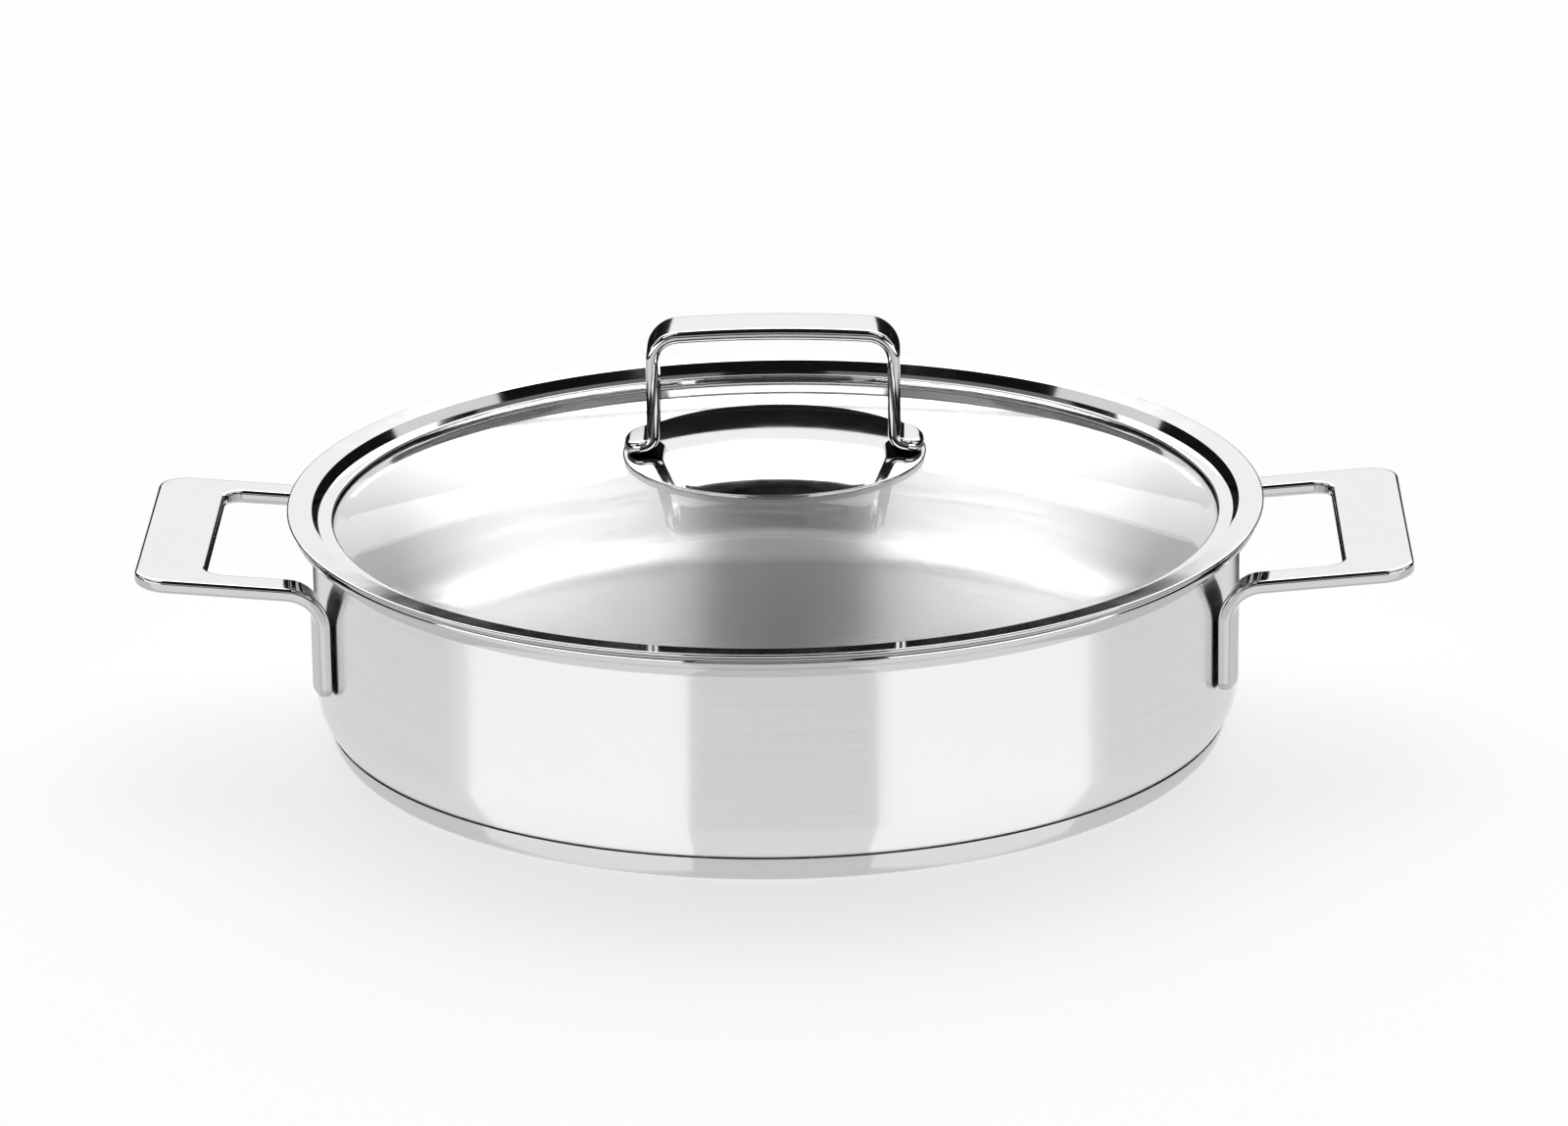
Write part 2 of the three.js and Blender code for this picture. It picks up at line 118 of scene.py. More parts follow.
class LidSizes(bpy.types.PropertyGroup):
    """Sizes of the lid's ring, glass, rosette and strap handle."""

    skirt_gap: length("Skirt gap", "Between the lid's skirt and the inside of the wall", 0.0009)
    overhang: length("Overhang", "Ring's edge beyond the rim bead", 0.0015)
    sheet: length("Ring sheet", "Steel of the ring", 0.0011)
    flange: length("Flange", "Width of the flange that lies on the rim", 0.0075)
    flange_slope: FloatProperty(name="Flange slope", description="Rise towards the edge", default=0.07)
    step_depth: length("Step depth", "Drop from the flange to the trough", 0.003)
    step_run: length("Step run", "How far the step leans inwards", 0.0018)
    lip: length("Lip", "How far the ring's lips reach over the glass", 0.0044)
    glass: length("Glass", "Thickness of the glass", 0.0036)
    glass_slope: FloatProperty(name="Glass slope", description="Steepest fall of the dome", default=0.25)
    glass_rounding: length("Glass rounding", "Size of the rounded middle of the dome", 0.060)
    glass_hole: length("Glass hole", "Radius of the hole for the handle's boss", 0.005)
    gasket: length("Gasket", "Silicone between rosette and glass", 0.0012)
    rosette: length("Rosette", "Radius of the rosette", 0.046)
    rosette_sheet: length("Rosette sheet", "Steel of the rosette", 0.0012)
    strap_width: length("Strap width", "Strap along Y", 0.0184)
    strap_thickness: length("Strap thickness", "Steel of the strap", 0.0038)
    strap_span: length("Strap span", "Over the outside of both legs", 0.0767)
    strap_rise: length("Strap rise", "Rosette's middle to the top of the strap", 0.0354)
    strap_crown: length("Strap crown", "How much the top of the strap bulges", 0.0009)
    strap_corner: length("Strap corner", "Outside radius of the strap's two top corners", 0.010)
    foot_bend: length("Foot bend", "Inside radius of the bend above each foot", 0.0015)
    foot: length("Foot", "Foot beyond the leg's outside", 0.007)
    foot_corner: length("Foot corner", "Rounded end of each foot, measured along it", 0.0055)
    foot_side: length("Foot side", "The same rounding, measured across the foot", 0.0074)
    strap_edge: length("Strap edge", "Rounding of the strap's long edges", 0.0017)


class Finishes(bpy.types.PropertyGroup):
    """Colours of the materials."""

    steel: colour("Steel", "Polished stainless steel", "#CFCFCF")
    # The outer wall's colour is the steel's own grey lightened by painted light, so the wall reads brighter
    # than the pot's other steel.
    satin: colour("Satin steel with painted light", "Stainless steel of the outer wall", "#F2F2F2")
    inside: colour("Inside steel", "Stainless steel of the inner wall and floor", "#D4D4D4")
    base: colour("Base steel", "Stainless steel of the base cap", "#DCDCDC")
    glass: colour("Glass", "Clear toughened glass", "#FFFFFF")
    aluminium: colour("Aluminium", "Rolled disc in the base", "#C4C6C8")
    silicone: colour("Silicone", "Gaskets under the lid's handle", "#3C3E40")
    table: colour("Table", "Matt white table top", "#FDFDFD")


class StageSizes(bpy.types.PropertyGroup):
    """Camera and table."""

    lens: FloatProperty(name="Lens", description="Focal length in mm on a 36 mm sensor", default=180.0)
    distance: length("Distance", "Camera in front of the pot's axis", 2.26605)
    height: length("Height", "Camera above the table", 0.81488)
    turn: angle("Turn", "Camera about the pot's axis", 0.0197)
    pan: angle("Pan", "Camera to the right", 0.00106)
    tilt: angle("Tilt", "Camera downwards", 0.32416)
    roll: angle("Roll", "Camera about its axis", -0.01412)
    table: length("Table", "Radius of the table top", 12.0)


class PotSettings(bpy.types.PropertyGroup):
    """Everything that the pot is made from."""

    pot: PointerProperty(type=PotSizes)
    handle: PointerProperty(type=HandleSizes)
    lid: PointerProperty(type=LidSizes)
    finish: PointerProperty(type=Finishes)
    stage: PointerProperty(type=StageSizes)


# Profiles and meshes


class Pen:
    """Draws a profile in the XZ plane, line by line and arc by arc."""

    def __init__(self, bm, x, z):
        self.bm = bm
        self.first = self.last = bmesh.ops.create_vert(bm, co=(x, 0, z))["vert"][0]

    def line(self, x, z):
        """Draws on to x, z."""
        self.last = bmesh.ops.extrude_vert_indiv(self.bm, verts=[self.last])["verts"][0]
        self.last.co = (x, 0, z)

    def arc(self, x, z, degrees, steps):
        """Turns on round the centre x, z; positive from +X towards +Z."""
        made = bmesh.ops.spin(
            self.bm,
            geom=[self.last],
            cent=(x, 0, z),
            axis=(0, -1, 0),
            angle=math.radians(degrees),
            steps=steps,
        )
        self.last = next(v for v in made["geom_last"] if isinstance(v, bmesh.types.BMVert))

    def close(self):
        """Draws back to the first point."""
        bmesh.ops.contextual_create(self.bm, geom=[self.last, self.first])


def turn_about_axis(bm):
    """Spins the drawn profile once round Z into a closed skin that points outwards."""
    bmesh.ops.spin(
        bm,
        geom=bm.verts[:] + bm.edges[:],
        cent=(0, 0, 0),
        axis=(0, 0, 1),
        angle=2 * math.pi,
        steps=ROUND,
        use_merge=True,
    )
    bmesh.ops.remove_doubles(bm, verts=bm.verts[:], dist=MERGE)
    bmesh.ops.recalc_face_normals(bm, faces=bm.faces[:])


def round_long_edges(bm, radius):
    """Rounds every edge between a flat side and a narrow side of a plate."""
    sharp = [e for e in bm.edges if e.is_manifold and e.calc_face_angle() > math.radians(60)]
    bmesh.ops.bevel(bm, geom=sharp, offset=radius, segments=4, profile=0.5, affect="EDGES", material=-1)
    bmesh.ops.recalc_face_normals(bm, faces=bm.faces[:])


def make_piece(bm, name, materials, body, slot, *nodes):
    """Turns a bmesh into a smooth piece that rides on a body in place of CAD nodes."""
    mesh = bpy.data.meshes.new(name)
    bm.to_mesh(mesh)
    bm.free()
    mesh.shade_smooth()
    mesh.set_sharp_from_angle(angle=math.radians(50))
    obj = bpy.data.objects.new(name, mesh)
    bpy.context.scene.collection.objects.link(obj)
    for material in materials:
        mesh.materials.append(material)
    even = obj.modifiers.new("Even normals", "WEIGHTED_NORMAL")
    even.keep_sharp = True
    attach(obj, body)
    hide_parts(*nodes)


# Materials


def linear(hex_value):
    """An sRGB hex value as linear red, green, blue and alpha."""
    parts = [int(hex_value[i : i + 2], 16) / 255 for i in (1, 3, 5)]
    return [p / 12.92 if p <= 0.04045 else ((p + 0.055) / 1.055) ** 2.4 for p in parts] + [1.0]


def add_node(tree, kind, inputs=None, **settings):
    """Adds a node, sets it up, and fills its sockets with values or links."""
    node = tree.nodes.new(kind)
    for key, value in settings.items():
        setattr(node, key, value)
    for key, value in (inputs or {}).items():
        if isinstance(value, bpy.types.NodeSocket):
            tree.links.new(value, node.inputs[key])
        else:
            node.inputs[key].default_value = value
    return node


def new_material(name):
    """The material of that name with an emptied node tree, and the tree."""
    material = bpy.data.materials.get(name) or bpy.data.materials.new(name)
    material.use_nodes = True
    material.node_tree.nodes.clear()
    return material, material.node_tree


def polished_stainless(finish):
    """Buffed sheet: a clean mirror whose reflections waver a little, with a faint haze from the mop."""
    material, tree = new_material("polished_stainless_steel")
    place = add_node(tree, "ShaderNodeTexCoord").outputs["Object"]
    haze = add_node(tree, "ShaderNodeTexNoise", {"Vector": place, "Scale": 1 / 0.012, "Detail": 3.0})
    rough = add_node(
        tree,
        "ShaderNodeMapRange",
        {"Value": haze.outputs["Fac"], "From Min": 0.3, "From Max": 0.7, "To Min": 0.045, "To Max": 0.085},
    )
    wave = add_node(tree, "ShaderNodeTexNoise", {"Vector": place, "Scale": 1 / 0.025, "Detail": 1.0})
    bump = add_node(
        tree, "ShaderNodeBump", {"Height": wave.outputs["Fac"], "Strength": 0.03, "Distance": 0.001}
    )
    steel = add_node(
        tree,
        "ShaderNodeBsdfPrincipled",
        {
            "Base Color": linear(finish.steel),
            "Metallic": 1.0,
            "Roughness": rough.outputs["Result"],
            "Normal": bump.outputs["Normal"],
        },
    )
    add_node(tree, "ShaderNodeOutputMaterial", {"Surface": steel.outputs["BSDF"]})
    return material


def satin_stainless(name, hex_value, along, roughness, anisotropic):
    """Sheet finished on a lathe: fine lines run round the axis and smear reflections across them."""
    material, tree = new_material(name)
    place = add_node(tree, "ShaderNodeTexCoord").outputs["Object"]
    if along == "HEIGHT":
        stretch = (6.0, 6.0, 1 / WALL_LINES)
        lines = add_node(tree, "ShaderNodeMapping", {"Vector": place, "Scale": stretch}).outputs["Vector"]
    else:
        flat = add_node(tree, "ShaderNodeVectorMath", {0: place, 1: (1.0, 1.0, 0.0)}, operation="MULTIPLY")
        radius = add_node(tree, "ShaderNodeVectorMath", {0: flat.outputs["Vector"]}, operation="LENGTH")
        fine = add_node(
            tree, "ShaderNodeMath", {0: radius.outputs["Value"], 1: 1 / FLOOR_LINES}, operation="MULTIPLY"
        )
        lines = add_node(tree, "ShaderNodeCombineXYZ", {"X": fine.outputs["Value"]}).outputs["Vector"]
    grit = add_node(
        tree, "ShaderNodeTexNoise", {"Vector": lines, "Scale": 1.0, "Detail": 4.0, "Roughness": 0.6}
    )
    rough = add_node(
        tree,
        "ShaderNodeMapRange",
        {
            "Value": grit.outputs["Fac"],
            "From Min": 0.25,
            "From Max": 0.75,
            "To Min": roughness * 0.85,
            "To Max": roughness * 1.15,
        },
    )
    bump = add_node(
        tree, "ShaderNodeBump", {"Height": grit.outputs["Fac"], "Strength": 0.01, "Distance": 0.0003}
    )
    tangent = add_node(tree, "ShaderNodeTangent", direction_type="RADIAL", axis="Z")
    steel = add_node(
        tree,
        "ShaderNodeBsdfPrincipled",
        {
            "Base Color": linear(hex_value),
            "Metallic": 1.0,
            "Roughness": rough.outputs["Result"],
            "Normal": bump.outputs["Normal"],
            "Tangent": tangent.outputs["Tangent"],
            "Anisotropic": anisotropic,
            "Anisotropic Rotation": 0.25,
        },
    )
    add_node(tree, "ShaderNodeOutputMaterial", {"Surface": steel.outputs["BSDF"]})
    return material


def clear_glass(finish):
    """Toughened glass: clear and smooth, seen by its reflections."""
    material, tree = new_material("toughened_glass")
    place = add_node(tree, "ShaderNodeTexCoord").outputs["Object"]
    wave = add_node(tree, "ShaderNodeTexNoise", {"Vector": place, "Scale": 1 / 0.04, "Detail": 1.0})
    bump = add_node(
        tree, "ShaderNodeBump", {"Height": wave.outputs["Fac"], "Strength": 0.02, "Distance": 0.001}
    )
    glass = add_node(
        tree,
        "ShaderNodeBsdfPrincipled",
        {
            "Base Color": linear(finish.glass),
            "Roughness": 0.0,
            "IOR": 1.4,
            "Transmission Weight": 1.0,
            "Normal": bump.outputs["Normal"],
        },
    )
    add_node(tree, "ShaderNodeOutputMaterial", {"Surface": glass.outputs["BSDF"]})
    return material


def mottled(name, hex_value, roughness, metallic, grain):
    """A plain surface with a fine uneven grain, in metres."""
    material, tree = new_material(name)
    place = add_node(tree, "ShaderNodeTexCoord").outputs["Object"]
    noise = add_node(tree, "ShaderNodeTexNoise", {"Vector": place, "Scale": 1 / grain, "Detail": 3.0})
    rough = add_node(
        tree,
        "ShaderNodeMapRange",
        {"Value": noise.outputs["Fac"], "To Min": roughness * 0.8, "To Max": roughness * 1.2},
    )
    bump = add_node(
        tree, "ShaderNodeBump", {"Height": noise.outputs["Fac"], "Strength": 0.1, "Distance": grain * 0.1}
    )
    surface = add_node(
        tree,
        "ShaderNodeBsdfPrincipled",
        {
            "Base Color": linear(hex_value),
            "Metallic": metallic,
            "Roughness": rough.outputs["Result"],
            "Normal": bump.outputs["Normal"],
        },
    )
    add_node(tree, "ShaderNodeOutputMaterial", {"Surface": surface.outputs["BSDF"]})
    return material


# Pot


def heel_of(pot):
    """Radius and turn in degrees of the corner above the seam, and the centre of the heel below it."""
    seam = pot.radius - pot.seam_inset
    rise = pot.corner_start - pot.seam_height
    corner = (pot.seam_inset**2 + rise**2) / (2 * pot.seam_inset)
    turn = math.asin(rise / corner)
    heel = (pot.seam_height - pot.floor_lift) / (1 - math.sin(turn))
    heel_x = seam - heel * math.cos(turn)
    heel_z = pot.seam_height + heel * math.sin(turn)
    return corner, math.degrees(turn), heel_x, heel_z


INSIDE, FLOOR, RIM = 1, 2, 3  # places of the pot body's materials after the outer wall's


class MakeBody(bpy.types.Operator):
    """Pot body: floor, rounded corner, straight wall, flare and rolled rim"""

    bl_idname = "shallow_pot.body"
    bl_label = "Pot body"

    def execute(self, context):
        settings = context.scene.shallow_pot
        pot = settings.pot
        corner, turn, heel_x, heel_z = heel_of(pot)
        bead_x = pot.radius + pot.flare
        bead_z = pot.height - pot.bead
        flare_z = bead_z - pot.bead - pot.flare
        inside = pot.radius - pot.wall
        opening = math.radians(FLARE_STOP)
        bm = bmesh.new()
        pen = Pen(bm, 0, pot.floor_lift)
        pen.line(heel_x, pot.floor_lift)
        pen.arc(heel_x, heel_z, 90 - turn, 8)
        pen.arc(pot.radius - corner, pot.corner_start, turn, 10)
        pen.line(pot.radius, flare_z)
        pen.arc(bead_x, flare_z, -90, 10)
        pen.arc(bead_x, bead_z, 270, 24)
        reach = pot.flare + pot.wall
        pen.line(bead_x + reach * math.cos(opening), flare_z + reach * math.sin(opening))
        pen.arc(bead_x, flare_z, 180 - FLARE_STOP, 8)
        pen.line(inside, pot.corner_start)
        pen.arc(pot.radius - corner, pot.corner_start, -turn, 10)
        pen.arc(heel_x, heel_z, turn - 90, 8)
        pen.line(0, pot.floor_lift + pot.wall)
        turn_about_axis(bm)
        for face in bm.faces:
            middle = face.calc_center_median()
            if face.normal.z > 0.9 and middle.z < pot.corner_start:
                face.material_index = FLOOR
            elif face.normal.xy.dot(middle.xy) < 0 and middle.z < flare_z:
                face.material_index = INSIDE
            elif middle.z > flare_z:
                face.material_index = RIM
        finish = settings.finish
        # The outer wall's colour carries painted light on top of the steel's own grey: it is lighter than
        # the inside's and the rim's steel.
        materials = [
            satin_stainless("satin_steel_wall_painted_light", finish.satin, "HEIGHT", 0.2, 1.0),
            satin_stainless("satin_steel_inside", finish.inside, "HEIGHT", 0.48, 0.9),
            satin_stainless("turned_steel_floor", finish.inside, "RADIUS", 0.3, 1.0),
            polished_stainless(finish),
        ]
        make_piece(bm, "pot_body_smooth", materials, "pot", "polished_steel", "pot_body")
        return {"FINISHED"}


class MakeBase(bpy.types.Operator):
    """Base cap with its rounded side, and the disc inside it"""

    bl_idname = "shallow_pot.base"
    bl_label = "Base"

    def execute(self, context):
        settings = context.scene.shallow_pot
        pot = settings.pot
        rounding = pot.seam_height - pot.seam_gap
        centre = pot.radius - pot.seam_inset - rounding
        slant = math.degrees(math.asin(2 * pot.cap_sheet / rounding))
        inner = rounding - pot.cap_sheet
        bm = bmesh.new()
        pen = Pen(bm, 0, 0)
        pen.line(centre, 0)
        pen.arc(centre, rounding, 90, 14)
        low = math.radians(-slant)
        pen.line(centre + inner * math.cos(low), rounding + inner * math.sin(low))
        pen.arc(centre, rounding, slant - 90, 12)
        pen.line(0, pot.cap_sheet)
        turn_about_axis(bm)
        material = satin_stainless("satin_steel_base", settings.finish.base, "HEIGHT", 0.22, 1.0)
        make_piece(bm, "base_cap_smooth", [material], "pot", "base_steel", "base_cap")
        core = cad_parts["base_core"]
        core.data.materials.clear()
        core.data.materials.append(mottled("rolled_aluminium", settings.finish.aluminium, 0.4, 1.0, 0.002))
        return {"FINISHED"}


def handle_bend(pot, handle):
    """Where the arms of a side handle turn down, measured on the flat blank."""
    arm_y = (handle.width - handle.arm) / 2
    leg_radius = pot.radius + pot.clearance + handle.thickness / 2
    climb = math.atan(handle.rise)
    turn = math.pi / 2 - climb
    start = math.sqrt(leg_radius**2 - arm_y**2) + handle.bend * (1 - math.sin(climb))
    end = start - handle.bend * turn
    return {
        "arm_y": arm_y,
        "climb": climb,
        "turn": turn,
        "start": start,
        "end": end,
        "tip": end - (handle.leg_drop - handle.thickness / 2 - handle.bend * math.cos(climb)),
        "middle": pot.height - handle.drop - handle.thickness / 2,
        "twist": math.asin(arm_y / leg_radius),
    }


def bend_point(p, bend, handle):
    """Moves one point of the flat blank to its place on the bent handle."""
    if p.x >= bend["start"]:
        return Vector((p.x, p.y, bend["middle"] + handle.rise * (p.x - bend["start"]) + p.z))
    side = math.copysign(1, p.y)
    travel = bend["start"] - p.x
    turned = min(travel / handle.bend, bend["turn"])
    share = turned / bend["turn"]
    angle = bend["climb"] + turned
    inwards = handle.bend * (math.sin(angle) - math.sin(bend["climb"]))
    drop = handle.bend * (math.cos(bend["climb"]) - math.cos(angle)) + travel - handle.bend * turned
    twist = side * bend["twist"] * share
    across = Vector((-math.sin(twist), math.cos(twist), 0))
    lean = math.sin(angle)
    normal = Vector((-math.cos(twist) * lean, -math.sin(twist) * lean, math.cos(angle)))
    centre = Vector((bend["start"] - inwards, side * bend["arm_y"], bend["middle"] - drop))
    return centre + across * (p.y - side * bend["arm_y"]) + normal * p.z


def handle_blank(bm, pot, handle, bend):
    """Flat blank of a side handle: grip, two arms and the legs still straight."""
    end = pot.radius + handle.reach
    window = end - handle.grip
    outer = handle.width / 2
    inner = outer - handle.arm
    tip = bend["tip"]
    big, small, foot = handle.outer_corner, handle.window_corner, handle.leg_corner
    pen = Pen(bm, tip + foot, -outer)
    pen.line(end - big, -outer)
    pen.arc(end - big, big - outer, 90, 12)
    pen.line(end, outer - big)
    pen.arc(end - big, outer - big, 90, 12)
    pen.line(tip + foot, outer)
    pen.arc(tip + foot, outer - foot, 90, 6)
    pen.line(tip, inner + foot)
    pen.arc(tip + foot, inner + foot, 90, 6)
    pen.line(window - small, inner)
    pen.arc(window - small, inner - small, -90, 10)
    pen.line(window, small - inner)
    pen.arc(window - small, small - inner, -90, 10)
    pen.line(tip + foot, -inner)
    pen.arc(tip + foot, -inner - foot, 90, 6)
    pen.line(tip, foot - outer)
    pen.arc(tip + foot, foot - outer, 90, 6)
    bmesh.ops.remove_doubles(bm, verts=bm.verts[:], dist=MERGE)
    bmesh.ops.contextual_create(bm, geom=bm.edges[:])
    bmesh.ops.rotate(bm, verts=bm.verts[:], cent=(0, 0, 0), matrix=Matrix.Rotation(-math.pi / 2, 3, "X"))
    step = (bend["start"] - bend["end"]) / BEND_CUTS
    cuts = [((bend["end"] + step * i, 0, 0), (1, 0, 0)) for i in range(BEND_CUTS + 1)]
    cuts += [((window - small * 1.5, 0, 0), (1, 0, 0)), ((window, 0, 0), (1, 0, 0))]
    cuts += [((0, (inner - small) * i / 5, 0), (0, 1, 0)) for i in range(-5, 6)]
    for place, direction in cuts:
        bmesh.ops.bisect_plane(
            bm, geom=bm.verts[:] + bm.edges[:] + bm.faces[:], dist=CUT, plane_co=place, plane_no=direction
        )


class MakeSideHandles(bpy.types.Operator):
    """Two side handles, each one plate bent down into two legs"""

    bl_idname = "shallow_pot.side_handles"
    bl_label = "Side handles"

    def execute(self, context):
        settings = context.scene.shallow_pot
        handle = settings.handle
        bend = handle_bend(settings.pot, handle)
        material = polished_stainless(settings.finish)
        for side, turn in (("right", 0.0), ("left", math.pi)):
            bm = bmesh.new()
            handle_blank(bm, settings.pot, handle, bend)
            bmesh.ops.translate(bm, verts=bm.verts[:], vec=(0, 0, -handle.thickness / 2))
            top = bmesh.ops.extrude_face_region(bm, geom=bm.faces[:], use_keep_orig=True)["geom"]
            raised = [v for v in top if isinstance(v, bmesh.types.BMVert)]
            bmesh.ops.translate(bm, verts=raised, vec=(0, 0, handle.thickness))
            bmesh.ops.recalc_face_normals(bm, faces=bm.faces[:])
            round_long_edges(bm, handle.edge)
            for vert in bm.verts:
                vert.co = bend_point(vert.co, bend, handle)
            bmesh.ops.rotate(bm, verts=bm.verts[:], cent=(0, 0, 0), matrix=Matrix.Rotation(turn, 3, "Z"))
            name = "side_handle_" + side
            make_piece(bm, name + "_smooth", [material], "pot", "polished_steel", name)
        return {"FINISHED"}


# Lid


def lid_levels(pot, lid):
    """Radii and heights of the lid that follow from the pot and the ring's sizes."""
    bead_x = pot.radius + pot.flare
    ring = bead_x + pot.bead + lid.overhang
    flange_in = ring - lid.flange
    skirt = pot.radius - pot.wall - lid.skirt_gap

    def under(radius):
        return pot.height + pot.clearance + (radius - bead_x) * lid.flange_slope

    trough = under(flange_in) + lid.sheet - lid.step_depth
    edge_top = trough - lid.sheet - pot.clearance
    flat = skirt - lid.lip - pot.clearance

    def glass_top(radius):
        rounding = lid.glass_rounding
        return edge_top + lid.glass_slope * (math.hypot(flat, rounding) - math.hypot(radius, rounding))

    rim = glass_top(lid.rosette) + pot.clearance
    middle = glass_top(0) + lid.gasket + 2 * pot.clearance

    def rosette_top(radius):
        return rim + (middle - rim) * (1 - (radius / lid.rosette) ** 2) + lid.rosette_sheet

    return {
        "ring": ring,
        "flange_in": flange_in,
        "skirt": skirt,
        "under": under,
        "trough": trough,
        "edge_top": edge_top,
        "flat": flat,
        "glass_top": glass_top,
        "rosette_top": rosette_top,
    }


class MakeRing(bpy.types.Operator):
    """Lid ring: flange, step, trough, and a skirt that holds the glass edge"""

    bl_idname = "shallow_pot.ring"
    bl_label = "Lid ring"

    def execute(self, context):
        settings = context.scene.shallow_pot
        lid = settings.lid
        level = lid_levels(settings.pot, lid)
        half = lid.sheet / 2
        lip_in = level["skirt"] - lid.lip
        low = level["edge_top"] - lid.glass - settings.pot.clearance
        under = level["under"]
        rim = level["ring"] - half
        bm = bmesh.new()
        pen = Pen(bm, rim, under(rim))
        pen.arc(rim, under(rim) + half, 180, 12)
        pen.line(level["flange_in"], under(level["flange_in"]) + lid.sheet)
        pen.line(level["flange_in"] - lid.step_run, level["trough"])
        pen.line(lip_in + half, level["trough"])
        pen.arc(lip_in + half, level["trough"] - half, 180, 10)
        pen.line(level["skirt"] - lid.sheet, level["trough"] - lid.sheet)
        pen.line(level["skirt"] - lid.sheet, low)
        pen.line(lip_in, low)
        pen.line(lip_in, low - lid.sheet)
        pen.line(level["skirt"] - half, low - lid.sheet)
        pen.arc(level["skirt"] - half, low - half, 90, 6)
        pen.line(level["skirt"], level["trough"] - lid.sheet)
        pen.line(level["flange_in"] + half, under(level["flange_in"] + half))
        pen.close()
        turn_about_axis(bm)
        material = polished_stainless(settings.finish)
        make_piece(bm, "lid_ring_smooth", [material], "lid", "polished_steel", "lid_ring")
        return {"FINISHED"}


class MakeGlass(bpy.types.Operator):
    """Domed glass with a hole in its middle and a flat edge inside the ring"""

    bl_idname = "shallow_pot.glass"
    bl_label = "Lid glass"

    def execute(self, context):
        settings = context.scene.shallow_pot
        lid = settings.lid
        level = lid_levels(settings.pot, lid)
        edge = level["skirt"] - lid.sheet - settings.pot.clearance
        radii = [lid.glass_hole + (level["flat"] - lid.glass_hole) * i / 28 for i in range(29)]
        bm = bmesh.new()
        pen = Pen(bm, radii[0], level["glass_top"](radii[0]))
        for radius in radii[1:]:
            pen.line(radius, level["glass_top"](radius))
        pen.line(edge, level["edge_top"])
        pen.line(edge, level["edge_top"] - lid.glass)
        for radius in reversed(radii):
            pen.line(radius, level["glass_top"](radius) - lid.glass)
        pen.close()
        turn_about_axis(bm)
        material = clear_glass(settings.finish)
        make_piece(bm, "lid_glass_smooth", [material], "lid", "clear_glass", "lid_glass")
        return {"FINISHED"}


class MakeRosette(bpy.types.Operator):
    """Convex steel rosette under the lid's handle"""

    bl_idname = "shallow_pot.rosette"
    bl_label = "Lid rosette"

    def execute(self, context):
        settings = context.scene.shallow_pot
        lid = settings.lid
        top = lid_levels(settings.pot, lid)["rosette_top"]
        half = lid.rosette_sheet / 2
        rim = lid.rosette - half
        lean = math.degrees(math.atan((top(rim - 0.001) - top(rim)) / 0.001))
        radii = [rim * i / 24 for i in range(25)]
        bm = bmesh.new()
        pen = Pen(bm, 0, top(0) - lid.rosette_sheet)
        for radius in radii[1:]:
            pen.line(radius, top(radius) - lid.rosette_sheet)
        pen.arc(rim, top(rim) - half, 180 - lean, 10)
        for radius in reversed(radii[:-1]):
            pen.line(radius, top(radius))
        turn_about_axis(bm)
        material = polished_stainless(settings.finish)
        make_piece(bm, "lid_rosette_smooth", [material], "lid", "polished_steel", "lid_rosette")
        return {"FINISHED"}


def round_feet(bm, lid, foot_x):
    """Cuts the square ends of the strap's feet to rounded tongues, one flat after the other."""
    centre_x = foot_x - lid.foot_corner
    centre_y = lid.strap_width / 2 - lid.foot_side
    for i in range(1, 10):
        along = math.cos(math.radians(9 * i))
        across = math.sin(math.radians(9 * i))
        touch_x = centre_x + lid.foot_corner * along
        touch_y = centre_y + lid.foot_side * across
        for x, y in ((1, 1), (1, -1), (-1, -1), (-1, 1)):
            cut = bmesh.ops.bisect_plane(
                bm,
                geom=bm.verts[:] + bm.edges[:] + bm.faces[:],
                dist=CUT,
                plane_co=(x * touch_x, y * touch_y, 0),
                plane_no=(x * along / lid.foot_corner, y * across / lid.foot_side, 0),
                clear_outer=True,
            )
            edges = [e for e in cut["geom_cut"] if isinstance(e, bmesh.types.BMEdge)]
            bmesh.ops.contextual_create(bm, geom=edges)
    bmesh.ops.recalc_face_normals(bm, faces=bm.faces[:])


def strap_outline(bm, settings, foot_x):
    """Draws the right half of the strap seen from the front, from its crown to the foot and back."""
    lid = settings.lid
    rosette_top = lid_levels(settings.pot, lid)["rosette_top"]
    half = lid.strap_span / 2
    top = rosette_top(0) + lid.strap_rise
    shoulder = half - lid.strap_corner
    corner_z = top - lid.strap_crown - lid.strap_corner
    bend_x = half + lid.foot_bend
    outer_bend = lid.foot_bend + lid.strap_thickness
    fall = (rosette_top(half) - rosette_top(foot_x)) / lid.foot
    lean = math.atan(fall)
    low_x = bend_x - outer_bend * math.sin(lean)
    touch = rosette_top(low_x) + settings.pot.clearance
    bend_z = touch + outer_bend * math.cos(lean)

    def crown(x):
        return top - lid.strap_crown * (x / shoulder) ** 2

    pen = Pen(bm, 0, top)
    for i in range(1, 9):
        pen.line(shoulder * i / 8, crown(shoulder * i / 8))
    pen.arc(shoulder, corner_z, -90, 14)
    pen.line(half, bend_z)
    pen.arc(bend_x, bend_z, 90 - math.degrees(lean), 6)
    end = pen.last.co.copy()
    pen.line(foot_x, end.z - (foot_x - end.x) * fall)
    pen.line(foot_x, touch - (foot_x - low_x) * fall)
    pen.line(low_x, touch)
    pen.arc(bend_x, bend_z, math.degrees(lean) - 90, 10)
    pen.line(half - lid.strap_thickness, corner_z)
    pen.arc(shoulder, corner_z, 90, 12)
    for i in range(7, -1, -1):
        pen.line(shoulder * i / 8, crown(shoulder * i / 8) - lid.strap_thickness)
    pen.close()


